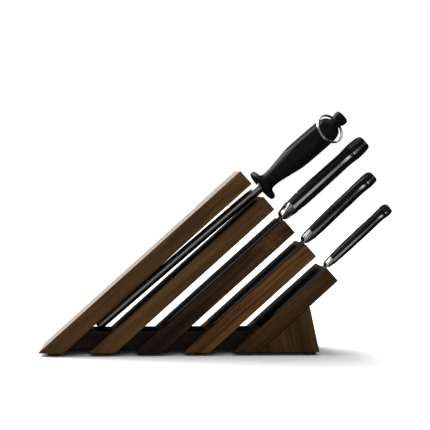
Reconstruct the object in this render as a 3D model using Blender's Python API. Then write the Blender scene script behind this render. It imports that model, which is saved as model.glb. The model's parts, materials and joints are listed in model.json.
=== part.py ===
"""Slanted magnetic knife block with three knives and a sharpening steel.

Frame: +X along the row of slats, +Y towards the back, +Z up, metres.
The block stands on its feet at Z = 0 and its front is at -Y.
"""
import math

import bmesh
import bpy
from mathutils import Matrix, Vector

MM = 0.001
GAP = 0.3 * MM

# Block
SLAT_ANGLE = math.radians(42.1)
SLAT_THICKNESS = 20.0 * MM
BLOCK_DEPTH = 60.0 * MM
FOOT_HEIGHT = 4.0 * MM
SLAT_OFFSETS = (0.0, 40.1 * MM, 76.3 * MM, 113.8 * MM, 152.3 * MM)
FIRST_FACE = 142.45 * MM
END_PLANE = 163.69 * MM
EDGE_BEVEL = 0.7 * MM

# Base rail and its cover
RAIL_WIDTH = 34.0 * MM
RAIL_BOTTOM = 4.6 * MM
RAIL_TOP = 24.6 * MM
RAIL_RIGHT = 97.8 * MM
RAIL_LEFT_INSET = 10.0 * MM
COVER_TOP = 26.6 * MM

# Wedge
WEDGE_RIGHT = 120.13 * MM
WEDGE_APEX_Z = 57.3 * MM

# Inset strips and magnets
STRIP_BORDER = 3.5 * MM
STRIP_TOP_MARGIN = 7.0 * MM
STRIP_BOTTOM_MARGIN = 9.0 * MM
STRIP_DEPTH = 2.1 * MM
STRIP_CORNER = 3.0 * MM
MAGNET_POCKET = 7.4 * MM
MAGNET_WIDTH = 20.0 * MM
MAGNET_ROW_Y = 13.0 * MM

# Feet and screws
FOOT_X = (-190.2 * MM, 110.3 * MM)
FOOT_Y = 20.5 * MM
FOOT_PROFILE = ((2.0, 3.7), (2.0, 1.9), (3.7, 1.9), (3.7, 0.0), (6.2, 0.0), (6.9, 0.5), (7.85, 3.7))
FOOT_SCREW = ((0.0, 0.9), (1.0, 0.9), (1.0, 0.4), (3.0, 0.4), (3.3, 0.8), (3.3, 1.6), (1.6, 1.6), (1.6, 14.0), (0.0, 16.0))
FOOT_HOLE = 1.9 * MM
RAIL_SCREW = ((0.0, 6.3), (1.2, 6.3), (1.2, 4.9), (3.7, 4.9), (3.8, 5.3), (1.8, 7.5), (1.8, 34.0), (0.0, 36.5))
RAIL_SCREW_SEAT = ((0.0, 4.0), (4.3, 4.0), (4.3, 5.2), (2.1, 7.6), (2.1, 26.0), (0.0, 26.0))
PILOT_RADIUS = 2.1 * MM
PILOT_TOP = 37.0 * MM
WEDGE_SCREW_X = 89.8 * MM

# Knives: stations are (along, spine y, edge y, half thickness) in millimetres, along the slat
SHOULDER_RUN = 0.1
REST_GAP = 0.35
LEVELS = {
    "blade": ((0.0, 0.84), (0.03, 1.0), (0.25, 0.86), (0.5, 0.62), (0.75, 0.38), (0.97, 0.18), (1.0, 0.1)),
    "tang": ((0.0, 0.84), (0.02, 1.0), (0.25, 1.0), (0.5, 1.0), (0.75, 1.0), (0.98, 1.0), (1.0, 0.84)),
}
BOLSTER_SHARES = (0.0, 0.03, 0.12, 0.3, 0.6, 0.92, 1.0)
NOSE_DEPTH = (11.0, 3.6)
KNIVES = {
    "carving_knife": {
        "slat": 2,
        "blade": ((-186, -21.0, -20.2, 0.25), (-183, -22.4, -19.0, 0.45), (-176, -24.0, -16.6, 0.65),
                  (-165, -25.0, -13.8, 0.8), (-150, -25.5, -10.8, 0.95), (-130, -25.6, -7.8, 1.05),
                  (-105, -25.6, -5.2, 1.15), (-75, -25.6, -3.2, 1.22), (-45, -25.5, -1.8, 1.28),
                  (-20, -25.3, -0.9, 1.33), (-4.5, -25.0, -0.5, 1.35), (-3.6, -25.0, -1.2, 1.35)),
        "heel": ((-2.6, -24.9, -3.0, 1.35), (0.5, -24.4, -3.0, 1.35)),
        "bolster": ((0.9, -24.3, -2.8, 2.2), (1.8, -24.1, -2.2, 4.0), (3.0, -23.8, -1.4, 5.2),
                    (5.0, -23.3, -0.6, 5.95), (8.0, -22.7, 0.2, 6.5), (11.0, -22.1, 0.8, 6.98),
                    (14.0, -21.6, 1.1, 7.4), (17.0, -21.2, 1.2, 7.7), (19.5, -20.9, 1.2, 8.0)),
        "handle": ((19.5, -20.9, 1.2, 8.0), (24, -20.7, 1.5, 8.45), (30, -20.5, 2.1, 8.85),
                   (40, -20.2, 3.2, 9.15), (50, -20.0, 4.0, 9.3), (60, -19.8, 4.4, 9.4),
                   (70, -19.6, 4.0, 9.3), (80, -19.2, 3.2, 9.25), (90, -18.7, 2.6, 9.2),
                   (98, -18.2, 2.4, 9.15), (104, -18.3, 2.8, 9.2), (108.5, -19.2, 3.6, 9.4),
                   (111.5, -20.6, 4.4, 9.6), (113.6, -22.0, 5.0, 9.75), (114.8, -22.4, 5.3, 9.82),
                   (118, -22.3, 6.0, 9.98), (122, -22.0, 6.4, 9.95), (127, -21.3, 6.2, 9.75),
                   (131, -20.2, 5.2, 9.4), (133.6, -18.6, 3.6, 8.9), (135.3, -16.2, 1.2, 8.0),
                   (136.3, -12.5, -2.5, 6.2), (136.8, -9.5, -5.5, 3.4)),
        "rivets": (36.0, 66.0, 96.0),
        "rivet_radius": 3.0,
        "tang": 1.6,
    },
    "utility_knife": {
        "slat": 3,
        "blade": ((-148, -23.6, -22.9, 0.25), (-145, -24.8, -22.0, 0.4), (-138, -26.1, -20.4, 0.55),
                  (-125, -26.8, -18.3, 0.7), (-108, -27.1, -16.3, 0.85), (-85, -27.2, -14.3, 0.95),
                  (-60, -27.2, -12.7, 1.05), (-35, -27.2, -11.6, 1.15), (-15, -27.2, -11.1, 1.2),
                  (-4, -27.2, -10.9, 1.25), (-3.2, -27.2, -11.4, 1.25)),
        "heel": ((-2.2, -27.2, -12.4, 1.25), (0.5, -27.1, -12.4, 1.25)),
        "bolster": ((0.9, -27.1, -12.2, 2.0), (1.8, -27.0, -11.6, 3.7), (3.0, -26.9, -10.9, 4.75),
                    (5.0, -26.8, -10.1, 5.35), (8.0, -26.6, -9.3, 5.7), (11.0, -26.4, -8.8, 6.0),
                    (15.5, -25.9, -8.4, 6.45)),
        "handle": ((15.5, -25.9, -8.4, 6.45), (20, -25.4, -7.6, 6.8), (26, -24.7, -6.2, 7.1),
                   (35, -23.6, -4.4, 7.3), (45, -22.4, -2.4, 7.3), (58, -20.8, -0.4, 7.25),
                   (70, -18.9, 1.0, 7.25), (80, -17.2, 2.0, 7.25), (88, -16.0, 3.0, 7.3),
                   (94, -15.5, 3.8, 7.4), (98.5, -16.0, 4.4, 7.5), (101.5, -17.2, 5.0, 7.55),
                   (103.6, -18.6, 5.4, 7.6), (104.8, -18.9, 5.6, 7.62), (108, -18.7, 6.2, 7.6),
                   (112, -17.9, 6.2, 7.35), (114.6, -16.6, 5.2, 7.1), (116.3, -14.5, 3.2, 6.4),
                   (117.3, -11.5, 0.0, 4.8), (117.8, -8.5, -3.0, 3.0)),
        "rivets": (31.0, 58.0, 85.0),
        "rivet_radius": 2.6,
        "tang": 1.4,
    },
    "paring_knife": {
        "slat": 4,
        "blade": ((-86, -26.6, -26.0, 0.2), (-84, -27.6, -25.2, 0.3), (-78, -28.8, -23.2, 0.45),
                  (-68, -29.4, -20.8, 0.6), (-54, -29.6, -18.2, 0.75), (-38, -29.6, -16.0, 0.85),
                  (-20, -29.6, -14.4, 0.9), (-8, -29.6, -13.6, 0.95), (-3.6, -29.6, -13.4, 0.95),
                  (-2.9, -29.6, -14.0, 0.95)),
        "heel": ((-2.0, -29.6, -15.5, 0.95), (0.5, -29.6, -15.5, 0.95)),
        "bolster": ((0.9, -29.6, -15.3, 1.7), (1.8, -29.6, -15.1, 2.9), (3.0, -29.6, -14.9, 3.6),
                    (5.0, -29.5, -14.8, 4.0), (8.0, -29.4, -14.6, 4.35), (12.1, -29.2, -14.3, 4.8)),
        "handle": ((12.1, -29.2, -14.3, 4.8), (16, -28.9, -13.2, 5.1), (24, -28.4, -11.8, 5.5),
                   (36, -28.0, -10.4, 5.8), (50, -27.5, -9.4, 5.9), (62, -26.8, -9.0, 6.0),
                   (74, -25.6, -8.8, 6.0), (82, -24.7, -8.4, 5.95), (87, -24.6, -7.8, 6.0),
                   (90.5, -25.4, -7.2, 6.1), (92.8, -26.8, -6.6, 6.25), (94.3, -28.0, -6.4, 6.3),
                   (95.4, -28.2, -6.3, 6.35), (98, -27.9, -6.2, 6.35), (101, -26.9, -6.8, 6.15),
                   (102.8, -25.2, -8.2, 5.7), (103.8, -22.8, -10.4, 4.9), (104.4, -19.6, -13.6, 3.2)),
        "rivets": (26.0, 49.0, 72.0),
        "rivet_radius": 2.2,
        "tang": 1.15,
    },
}

# Sharpening steel: profiles are (radius, distance from the guard's front face) in millimetres
STEEL_ANGLE = math.radians(40.85)
STEEL_SLAT = 1
STEEL_CLEARANCE = 0.4 * MM
ROD_RADIUS = 6.9 * MM
ROD_LENGTH = 245.4 * MM
GUARD_START = 10.3 * MM
ROD_PROFILE_TOP = ((6.9, 9.5), (4.0, 9.5), (4.0, 55.0), (0.0, 55.0))
HANDLE_PROFILE = (
    (0.0, 55.4), (4.3, 55.4), (4.3, 9.9), (7.2, 9.9), (7.2, -2.0), (16.8, -2.0), (18.6, -1.7), (19.7, -0.7),
    (20.15, 0.6), (20.2, 2.0), (19.9, 3.2), (19.1, 4.1), (17.6, 4.8), (15.2, 5.3), (12.9, 5.9), (11.4, 6.8),
    (10.5, 8.0), (9.95, 9.8), (9.7, 12.5), (9.75, 15.5), (10.1, 20.0), (10.85, 25.5), (11.85, 31.5),
    (12.85, 37.5), (13.85, 43.5), (14.8, 49.5), (15.4, 55.5), (15.7, 61.5), (15.75, 68.0), (15.75, 86.0),
    (15.6, 96.0), (15.2, 102.0), (14.4, 106.0), (13.2, 109.2), (11.6, 111.6), (9.9, 113.2), (8.4, 114.1),
    (7.6, 115.0), (7.15, 116.5), (7.1, 118.0), (7.5, 119.6), (8.2, 121.0), (8.7, 122.3), (8.9, 123.6),
    (8.95, 126.6), (8.8, 127.6), (8.3, 128.2), (0.0, 128.5),
)
FLAT_DISTANCE = 13.8 * MM
FLAT_TURN = math.radians(109.0)
NECK_HOLE_AT = 118.8 * MM
NECK_HOLE_RADIUS = 2.5 * MM

# Split ring: two turns of round wire side by side, standing off the front of the handle
RING_RADIUS = 18.05 * MM
RING_WIRE = 0.75 * MM
RING_TURN_GAP = 0.1 * MM
RING_PIVOT_INSET = 0.7 * MM
RING_TILT = math.radians(36.0)
RING_STEPS = 84
RING_START = 100.0

MATERIALS = {
    "walnut_1": ((0.085, 0.045, 0.022), 0.45, 0.0),
    "walnut_2": ((0.066, 0.036, 0.018), 0.45, 0.0),
    "walnut_3": ((0.075, 0.040, 0.020), 0.45, 0.0),
    "walnut_4": ((0.105, 0.050, 0.024), 0.45, 0.0),
    "walnut_5": ((0.070, 0.038, 0.018), 0.45, 0.0),
    "walnut_rail": ((0.030, 0.018, 0.010), 0.5, 0.0),
    "walnut_wedge": ((0.080, 0.044, 0.020), 0.45, 0.0),
    "cover_black": ((0.012, 0.013, 0.015), 0.4, 0.0),
    "strip_black": ((0.010, 0.010, 0.011), 0.45, 0.0),
    "magnet": ((0.30, 0.30, 0.31), 0.35, 1.0),
    "rubber": ((0.015, 0.015, 0.015), 0.8, 0.0),
    "screw_steel": ((0.45, 0.45, 0.46), 0.35, 1.0),
    "blade_steel": ((0.62, 0.62, 0.63), 0.18, 1.0),
    "handle_black": ((0.012, 0.012, 0.013), 0.4, 0.0),
    "rivet_steel": ((0.60, 0.60, 0.61), 0.22, 1.0),
    "rod_steel": ((0.40, 0.40, 0.41), 0.4, 1.0),
    "grip_black": ((0.013, 0.013, 0.014), 0.4, 0.0),
    "ring_steel": ((0.70, 0.69, 0.67), 0.2, 1.0),
}

ALONG = Vector((math.cos(SLAT_ANGLE), 0.0, math.sin(SLAT_ANGLE)))
ACROSS = Vector((0.0, 1.0, 0.0))
NORMAL = Vector((-math.sin(SLAT_ANGLE), 0.0, math.cos(SLAT_ANGLE)))


def clear_scene():
    for item in list(bpy.data.objects):
        bpy.data.objects.remove(item, do_unlink=True)


def make_material(slot):
    colour, roughness, metallic = MATERIALS[slot]
    material = bpy.data.materials.new(slot)
    material.use_nodes = True
    shader = material.node_tree.nodes["Principled BSDF"]
    shader.inputs["Base Color"].default_value = (*colour, 1.0)
    shader.inputs["Roughness"].default_value = roughness
    shader.inputs["Metallic"].default_value = metallic
    material.diffuse_color = (*colour, 1.0)
    return material


def axes_matrix(origin, first, second, third):
    matrix = Matrix.Identity(4)
    for column, axis in enumerate((first, second, third)):
        for row in range(3):
            matrix[row][column] = axis[row]
    matrix.translation = origin
    return matrix


def slat_matrix(index):
    """Local frame of a slat: x along it, y to the back, z out of its upper face."""
    origin = ALONG * END_PLANE + NORMAL * (FIRST_FACE - SLAT_OFFSETS[index])
    return axes_matrix(origin, ALONG, ACROSS, NORMAL)


def face_x(plane, height):
    """X of the slanted plane (signed distance from the origin) at a height."""
    return (NORMAL.z * height - plane) / -NORMAL.x


def finish(name, mesh_data, slot, parent=None):
    """Turn a bmesh in world coordinates into a named object."""
    bmesh.ops.remove_doubles(mesh_data, verts=mesh_data.verts, dist=0.000001)
    bmesh.ops.recalc_face_normals(mesh_data, faces=mesh_data.faces)
    origin = parent.matrix_world.translation if parent else Vector((0.0, 0.0, 0.0))
    bmesh.ops.translate(mesh_data, verts=mesh_data.verts, vec=-origin)
    mesh = bpy.data.meshes.new(name)
    mesh_data.to_mesh(mesh)
    mesh_data.free()
    item = bpy.data.objects.new(name, mesh)
    bpy.context.scene.collection.objects.link(item)
    if slot:
        mesh.materials.append(bpy.data.materials[slot])
    if parent:
        item.parent = parent
    return item


def make_cutter(name, mesh_data, target):
    cutter = finish(name, mesh_data, None)
    cutter.hide_render = True
    cutter.display_type = "WIRE"
    modifier = target.modifiers.new(name, "BOOLEAN")
    modifier.operation = "DIFFERENCE"
    modifier.solver = "EXACT"
    modifier.object = cutter
    return cutter


def make_empty(name, location, parent=None):
    empty = bpy.data.objects.new(name, None)
    bpy.context.scene.collection.objects.link(empty)
    empty.empty_display_size = 0.02
    if parent:
        empty.parent = parent
        empty.location = location - parent.matrix_world.translation
    else:
        empty.location = location
    bpy.context.view_layer.update()
    return empty


def loft(rings):
    """Closed solid through rings of points that all have the same count."""
    data = bmesh.new()
    layers = [[data.verts.new(point) for point in ring] for ring in rings]
    count = len(layers[0])
    for lower, upper in zip(layers, layers[1:]):
        for index in range(count):
            after = (index + 1) % count
            data.faces.new((lower[index], lower[after], upper[after], upper[index]))
    data.faces.new(layers[0])
    data.faces.new(layers[-1])
    return data


def prism(outline, y_front, y_back, bevel=0.0):
    """Outline of (x, z) points pulled along Y."""
    data = loft([[Vector((x, y, z)) for x, z in outline] for y in (y_front, y_back)])
    bmesh.ops.recalc_face_normals(data, faces=data.faces)
    if bevel:
        bmesh.ops.bevel(data, geom=data.edges[:], offset=bevel, segments=1, affect="EDGES", profile=0.5)
    return data


def local_box(matrix, low, high):
    corners = [Vector((x, y, z)) for z in (low[2], high[2])
               for x, y in ((low[0], low[1]), (high[0], low[1]), (high[0], high[1]), (low[0], high[1]))]
    points = [matrix @ corner for corner in corners]
    return loft([points[:4], points[4:]])


def rounded_slab(matrix, low, high, radius, steps):
    """Plate with rounded corners, flat in the local z direction."""
    outline = []
    centres = ((high[0] - radius, high[1] - radius, 0.0), (low[0] + radius, high[1] - radius, 90.0),
               (low[0] + radius, low[1] + radius, 180.0), (high[0] - radius, low[1] + radius, 270.0))
    for x, y, start in centres:
        for step in range(steps + 1):
            angle = math.radians(start + 90.0 * step / steps)
            outline.append((x + radius * math.cos(angle), y + radius * math.sin(angle)))
    return loft([[matrix @ Vector((x, y, z)) for x, y in outline] for z in (low[2], high[2])])


def lathe(profile, matrix, segments, ring_closed=False):
    """Turned solid: profile of (radius, height) points about the local z axis."""
    data = bmesh.new()
    layers = []
    for radius, height in profile:
        if radius < 0.000001:
            layers.append([data.verts.new(matrix @ Vector((0.0, 0.0, height)))])
            continue
        ring = []
        for index in range(segments):
            angle = 2.0 * math.pi * index / segments
            point = Vector((radius * math.cos(angle), radius * math.sin(angle), height))
            ring.append(data.verts.new(matrix @ point))
        layers.append(ring)
    pairs = list(zip(layers, layers[1:]))
    if ring_closed:
        pairs.append((layers[-1], layers[0]))
    for lower, upper in pairs:
        for index in range(segments):
            after = (index + 1) % segments
            if len(lower) == 1:
                data.faces.new((lower[0], upper[after], upper[index]))
            elif len(upper) == 1:
                data.faces.new((lower[index], lower[after], upper[0]))
            else:
                data.faces.new((lower[index], lower[after], upper[after], upper[index]))
    return data


def millimetres(profile):
    return [(radius * MM, height * MM) for radius, height in profile]


def pilot_hole(name, target, x, y, radius, bottom, top):
    matrix = Matrix.Translation((x, y, 0.0))
    make_cutter(name, lathe([(0.0, bottom), (radius, bottom), (radius, top), (0.0, top)], matrix, 12), target)


def rail_outline(grow):
    left_plane = FIRST_FACE - RAIL_LEFT_INSET + grow
    bottom = RAIL_BOTTOM - grow
    top = RAIL_TOP + grow
    return ((face_x(left_plane, bottom), bottom), (RAIL_RIGHT + grow, bottom),
            (RAIL_RIGHT + grow, top), (face_x(left_plane, top), top))


def rail_cut_outline():
    """Rail outline with clearance that runs out through the level underside."""
    left_plane = FIRST_FACE - RAIL_LEFT_INSET + GAP
    bottom = FOOT_HEIGHT - 2.0 * MM
    top = RAIL_TOP + GAP
    return ((face_x(left_plane, bottom), bottom), (RAIL_RIGHT + GAP, bottom),
            (RAIL_RIGHT + GAP, top), (face_x(left_plane, top), top))


def slat_screw_x(index):
    return face_x(FIRST_FACE - SLAT_OFFSETS[index] - SLAT_THICKNESS / 2.0, 31.0 * MM)


def strip_end(index):
    """Local x of the lower end of a strip."""
    top_height = (ALONG * END_PLANE + NORMAL * (FIRST_FACE - SLAT_OFFSETS[index])).z
    return -(top_height - COVER_TOP) / ALONG.z + STRIP_BOTTOM_MARGIN


def build_slat(index):
    name = f"slat_{index + 1}"
    upper = FIRST_FACE - SLAT_OFFSETS[index]
    lower = upper - SLAT_THICKNESS
    top_left = ALONG * END_PLANE + NORMAL * upper
    top_right = ALONG * END_PLANE + NORMAL * lower
    outline = ((top_left.x, top_left.z), (top_right.x, top_right.z),
               (face_x(lower, FOOT_HEIGHT), FOOT_HEIGHT), (face_x(upper, FOOT_HEIGHT), FOOT_HEIGHT))
    half = BLOCK_DEPTH / 2.0
    slat = finish(name, prism(outline, -half, half, EDGE_BEVEL), f"walnut_{index + 1}")
    notch_half = RAIL_WIDTH / 2.0 + GAP
    make_cutter(f"cut_{name}_notch", prism(rail_cut_outline(), -notch_half, notch_half), slat)
    pilot_hole(f"cut_{name}_pilot", slat, slat_screw_x(index), 0.0, PILOT_RADIUS, 20.0 * MM, PILOT_TOP)
    if index == 0:
        for side, y in (("front", -FOOT_Y), ("back", FOOT_Y)):
            pilot_hole(f"cut_{name}_foot_{side}", slat, FOOT_X[0], y, FOOT_HOLE, 0.0, 17.0 * MM)
    else:
        build_strip(index, slat)
    return slat


def build_strip(index, slat):
    matrix = slat_matrix(index)
    half = BLOCK_DEPTH / 2.0 - STRIP_BORDER
    start = strip_end(index)
    end = -STRIP_TOP_MARGIN
    name = f"strip_{index + 1}"
    groove = rounded_slab(matrix, (start - GAP, -half - GAP, -STRIP_DEPTH), (end + GAP, half + GAP, MM),
                          STRIP_CORNER + GAP, 3)
    make_cutter(f"cut_{name}", groove, slat)
    plate = rounded_slab(matrix, (start, -half, GAP - STRIP_DEPTH), (end, half, 0.0), STRIP_CORNER, 3)
    finish(name, plate, "strip_black")
    for row, y in (("front", -MAGNET_ROW_Y), ("back", MAGNET_ROW_Y)):
        low = (start + 6.0 * MM, y - MAGNET_WIDTH / 2.0, GAP - MAGNET_POCKET)
        high = (end - 6.0 * MM, y + MAGNET_WIDTH / 2.0, -STRIP_DEPTH)
        magnet_name = f"magnet_{index + 1}_{row}"
        pocket_low = (low[0] - GAP, low[1] - GAP, -MAGNET_POCKET)
        pocket_high = (high[0] + GAP, high[1] + GAP, -STRIP_DEPTH + MM)
        make_cutter(f"cut_{magnet_name}", local_box(matrix, pocket_low, pocket_high), slat)
        finish(magnet_name, local_box(matrix, low, high), "magnet")


def build_rail():
    half = RAIL_WIDTH / 2.0
    rail = finish("base_rail", prism(rail_outline(0.0), -half, half, 0.4 * MM), "walnut_rail")
    positions = [slat_screw_x(index) for index in range(len(SLAT_OFFSETS))] + [WEDGE_SCREW_X]
    for number, x in enumerate(positions, 1):
        matrix = Matrix.Translation((x, 0.0, 0.0))
        make_cutter(f"cut_rail_screw_{number}", lathe(millimetres(RAIL_SCREW_SEAT), matrix, 16), rail)
        finish(f"rail_screw_{number}", lathe(millimetres(RAIL_SCREW), matrix, 12), "screw_steel")
    for index in range(len(SLAT_OFFSETS) - 1):
        left_plane = FIRST_FACE - SLAT_OFFSETS[index] - SLAT_THICKNESS - GAP
        right_plane = FIRST_FACE - SLAT_OFFSETS[index + 1] + GAP
        bottom = RAIL_TOP + GAP
        outline = ((face_x(left_plane, bottom), bottom), (face_x(right_plane, bottom), bottom),
                   (face_x(right_plane, COVER_TOP), COVER_TOP), (face_x(left_plane, COVER_TOP), COVER_TOP))
        finish(f"rail_cover_{index + 1}", prism(outline, -half, half), "cover_black")


def build_wedge():
    plane = FIRST_FACE - SLAT_OFFSETS[-1] - SLAT_THICKNESS - GAP
    outline = ((face_x(plane, FOOT_HEIGHT), FOOT_HEIGHT), (WEDGE_RIGHT, FOOT_HEIGHT),
               (face_x(plane, WEDGE_APEX_Z), WEDGE_APEX_Z))
    half = BLOCK_DEPTH / 2.0
    wedge = finish("support_wedge", prism(outline, -half, half, EDGE_BEVEL), "walnut_wedge")
    notch_half = RAIL_WIDTH / 2.0 + GAP
    make_cutter("cut_wedge_notch", prism(rail_cut_outline(), -notch_half, notch_half), wedge)
    pilot_hole("cut_wedge_pilot", wedge, WEDGE_SCREW_X, 0.0, PILOT_RADIUS, 20.0 * MM, PILOT_TOP)
    for side, y in (("front", -FOOT_Y), ("back", FOOT_Y)):
        pilot_hole(f"cut_wedge_foot_{side}", wedge, FOOT_X[1], y, FOOT_HOLE, 0.0, 17.0 * MM)


def build_feet():
    number = 1
    for x in FOOT_X:
        for y in (-FOOT_Y, FOOT_Y):
            matrix = Matrix.Translation((x, y, 0.0))
            finish(f"foot_{number}", lathe(millimetres(FOOT_PROFILE), matrix, 20, ring_closed=True), "rubber")
            finish(f"foot_screw_{number}", lathe(millimetres(FOOT_SCREW), matrix, 12), "screw_steel")
            number += 1


def section_ring(matrix, station, levels, centre):
    """Closed section of a blade: down one side from spine to edge and back up the other."""
    along, spine, edge, half = station
    side = [(spine + (edge - spine) * share, half * width) for share, width in levels]
    points = [(along, y, centre + b) for y, b in side]
    points += [(along, y, centre - b) for y, b in reversed(side)]
    return [matrix @ (Vector(point) * MM) for point in points]


def bolster_levels(station, stations):
    """Section of the bolster: a round nose at the spine that grows blunter towards the handle."""
    along, spine, belly, _ = station
    run = (along - stations[0][0]) / (stations[-1][0] - stations[0][0])
    depth = NOSE_DEPTH[0] + (NOSE_DEPTH[1] - NOSE_DEPTH[0]) * run
    flat = 0.16 + 0.16 * run
    levels = []
    for share in BOLSTER_SHARES:
        distance = share * (belly - spine)
        back = (1.0 - share) * (belly - spine)
        nose = flat + (1.0 - flat) * math.sqrt(1.0 - (1.0 - min(1.0, distance / depth)) ** 2)
        heel = 0.45 + 0.55 * math.sqrt(1.0 - (1.0 - min(1.0, back / 3.0)) ** 2)
        levels.append((share, min(nose, heel)))
    return levels


def scale_ring(matrix, station, centre, sign, tang):
    """Half of the handle's rounded section, outside the tang."""
    along, spine, belly, half = station
    inner = tang + GAP / MM
    middle = (spine + belly) / 2.0
    reach = (belly - spine) / 2.0
    points = []
    for degrees in (0, 14, 30, 48, 68, 90, 112, 132, 150, 166, 180):
        angle = math.radians(degrees)
        share = math.copysign(abs(math.cos(angle)) ** 0.8, math.cos(angle))
        bulge = math.sin(angle) ** 0.7 if 0 < degrees < 180 else 0.0
        width = inner + (half - inner) * bulge
        points.append((along, middle - reach * share, centre + sign * width))
    return [matrix @ (Vector(point) * MM) for point in points]


def rivet_half_length(spec, along):
    stations = spec["handle"]
    for before, after in zip(stations, stations[1:]):
        if before[0] <= along <= after[0]:
            share = (along - before[0]) / (after[0] - before[0])
            return [start + (stop - start) * share for start, stop in zip(before, after)]
    return list(stations[-1])


def build_knife(name, spec):
    matrix = slat_matrix(spec["slat"])
    centre = REST_GAP + spec["heel"][0][3]
    parent = make_empty(name, matrix @ (Vector((0.0, spec["heel"][1][1], centre)) * MM))
    rings = [section_ring(matrix, station, LEVELS["blade"], centre) for station in spec["blade"]]
    rings += [section_ring(matrix, station, LEVELS["tang"], centre) for station in spec["heel"]]
    bolster = spec["bolster"]
    rings += [section_ring(matrix, station, bolster_levels(station, bolster), centre) for station in bolster]
    tang_stations = [(along, spine, belly, spec["tang"]) for along, spine, belly, _ in spec["handle"]]
    tang_stations[0] = (tang_stations[0][0] + SHOULDER_RUN, *tang_stations[0][1:])
    rings += [section_ring(matrix, station, LEVELS["tang"], centre) for station in tang_stations]
    blade = finish(f"{name}_blade", loft(rings), "blade_steel", parent)
    first = spec["handle"][0]
    stations = [(first[0] + GAP / MM, *first[1:])] + list(spec["handle"][1:])
    scales = []
    for side, sign in (("outer", 1.0), ("inner", -1.0)):
        rings = [scale_ring(matrix, station, centre, sign, spec["tang"]) for station in stations]
        scales.append(finish(f"{name}_scale_{side}", loft(rings), "handle_black", parent))
    for number, along in enumerate(spec["rivets"], 1):
        _, spine, belly, half = rivet_half_length(spec, along)
        middle = Vector((along, (spine + belly) / 2.0, centre)) * MM
        rivet_matrix = matrix @ Matrix.Translation(middle)
        radius = spec["rivet_radius"] * MM
        reach = (half + 0.05) * MM
        hole = [(0.0, -reach * 1.2), (radius + GAP, -reach * 1.2), (radius + GAP, reach * 1.2), (0.0, reach * 1.2)]
        for target, label in ((blade, "tang"), (scales[0], "outer"), (scales[1], "inner")):
            make_cutter(f"cut_{name}_{label}_{number}", lathe(hole, rivet_matrix, 14), target)
        ease = 0.3 * MM
        body = [(0.0, -reach), (radius - ease, -reach), (radius, ease - reach),
                (radius, reach - ease), (radius - ease, reach), (0.0, reach)]
        finish(f"{name}_rivet_{number}", lathe(body, rivet_matrix, 14), "rivet_steel", parent)


def steel_matrix():
    """Local frame of the steel: z along its axis, y to the back, origin level with the slat ends."""
    slat = slat_matrix(STEEL_SLAT)
    lean = SLAT_ANGLE - STEEL_ANGLE
    rise = (ROD_RADIUS + STEEL_CLEARANCE) / math.cos(lean)
    origin = slat @ Vector((0.0, 0.0, rise))
    along = Vector((math.cos(STEEL_ANGLE), 0.0, math.sin(STEEL_ANGLE)))
    side = ACROSS.cross(along)
    return axes_matrix(origin, side, ACROSS, along)


def build_steel():
    matrix = steel_matrix()
    guard = matrix @ Matrix.Translation((0.0, 0.0, GUARD_START))
    parent = make_empty("sharpening_steel", guard.translation.copy())
    low = -(ROD_LENGTH + GUARD_START) / MM
    profile = [(0.0, low), (3.2, low), (5.4, low + 0.9), (6.9, low + 3.0)] + list(ROD_PROFILE_TOP)
    finish("steel_rod", lathe(millimetres(profile), guard, 24), "rod_steel", parent)

    grip = lathe(millimetres(HANDLE_PROFILE), Matrix.Identity(4), 36)
    for vertex in grip.verts:
        radius = math.hypot(vertex.co.x, vertex.co.y)
        turn = (math.atan2(vertex.co.y, vertex.co.x) + FLAT_TURN + math.pi / 6.0) % (math.pi / 3.0) - math.pi / 6.0
        limit = FLAT_DISTANCE / math.cos(turn)
        if radius > limit and vertex.co.z > 20.0 * MM:
            vertex.co.x *= limit / radius
            vertex.co.y *= limit / radius
    bmesh.ops.transform(grip, matrix=guard, verts=grip.verts)
    handle = finish("steel_handle", grip, "grip_black", parent)
    neck = guard @ Matrix.Translation((0.0, 0.0, NECK_HOLE_AT))
    across = neck @ Matrix.Rotation(math.pi / 2.0, 4, "Y")
    reach = 12.0 * MM
    hole = [(0.0, -reach), (NECK_HOLE_RADIUS, -reach), (NECK_HOLE_RADIUS, reach), (0.0, reach)]
    make_cutter("cut_neck_hole", lathe(hole, across, 16), handle)

    ring_parent = make_empty("hanging_ring_pivot", neck.translation.copy(), parent)
    build_ring(neck, ring_parent)


def ring_offset(turned):
    """Sideways place of the wire: it steps from one turn to the other over 24 degrees."""
    share = min(1.0, max(0.0, (turned - 348.0) / 24.0))
    smooth = share * share * (3.0 - 2.0 * share)
    return (RING_WIRE + RING_TURN_GAP / 2.0) * (2.0 * smooth - 1.0)


def build_ring(neck, parent):
    frame = neck.to_3x3()
    side = frame.col[0]
    hang = -(frame.col[2] * math.cos(RING_TILT)) - frame.col[1] * math.sin(RING_TILT)
    face = side.cross(hang)
    middle = neck.translation + hang * (RING_RADIUS - RING_PIVOT_INSET)
    rings = []
    for index in range(RING_STEPS):
        turned = 14.0 + (706.0 - 14.0) * index / (RING_STEPS - 1)
        angle = math.radians(RING_START + turned)
        outward = side * math.sin(angle) - hang * math.cos(angle)
        centre = middle + outward * RING_RADIUS + face * ring_offset(turned)
        ring = []
        for step in range(8):
            turn = 2.0 * math.pi * (step + 0.5) / 8
            ring.append(centre + (outward * math.cos(turn) + face * math.sin(turn)) * RING_WIRE)
        rings.append(ring)
    finish("hanging_ring", loft(rings), "ring_steel", parent)


def main():
    clear_scene()
    for slot in MATERIALS:
        make_material(slot)
    for index in range(len(SLAT_OFFSETS)):
        build_slat(index)
    build_rail()
    build_wedge()
    build_feet()
    for name, spec in KNIVES.items():
        build_knife(name, spec)
    build_steel()


main()
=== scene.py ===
"""Looks of the slanted magnetic knife block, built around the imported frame."""
import math

import bmesh
import bpy
from mathutils import Matrix, Vector

import json


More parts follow.
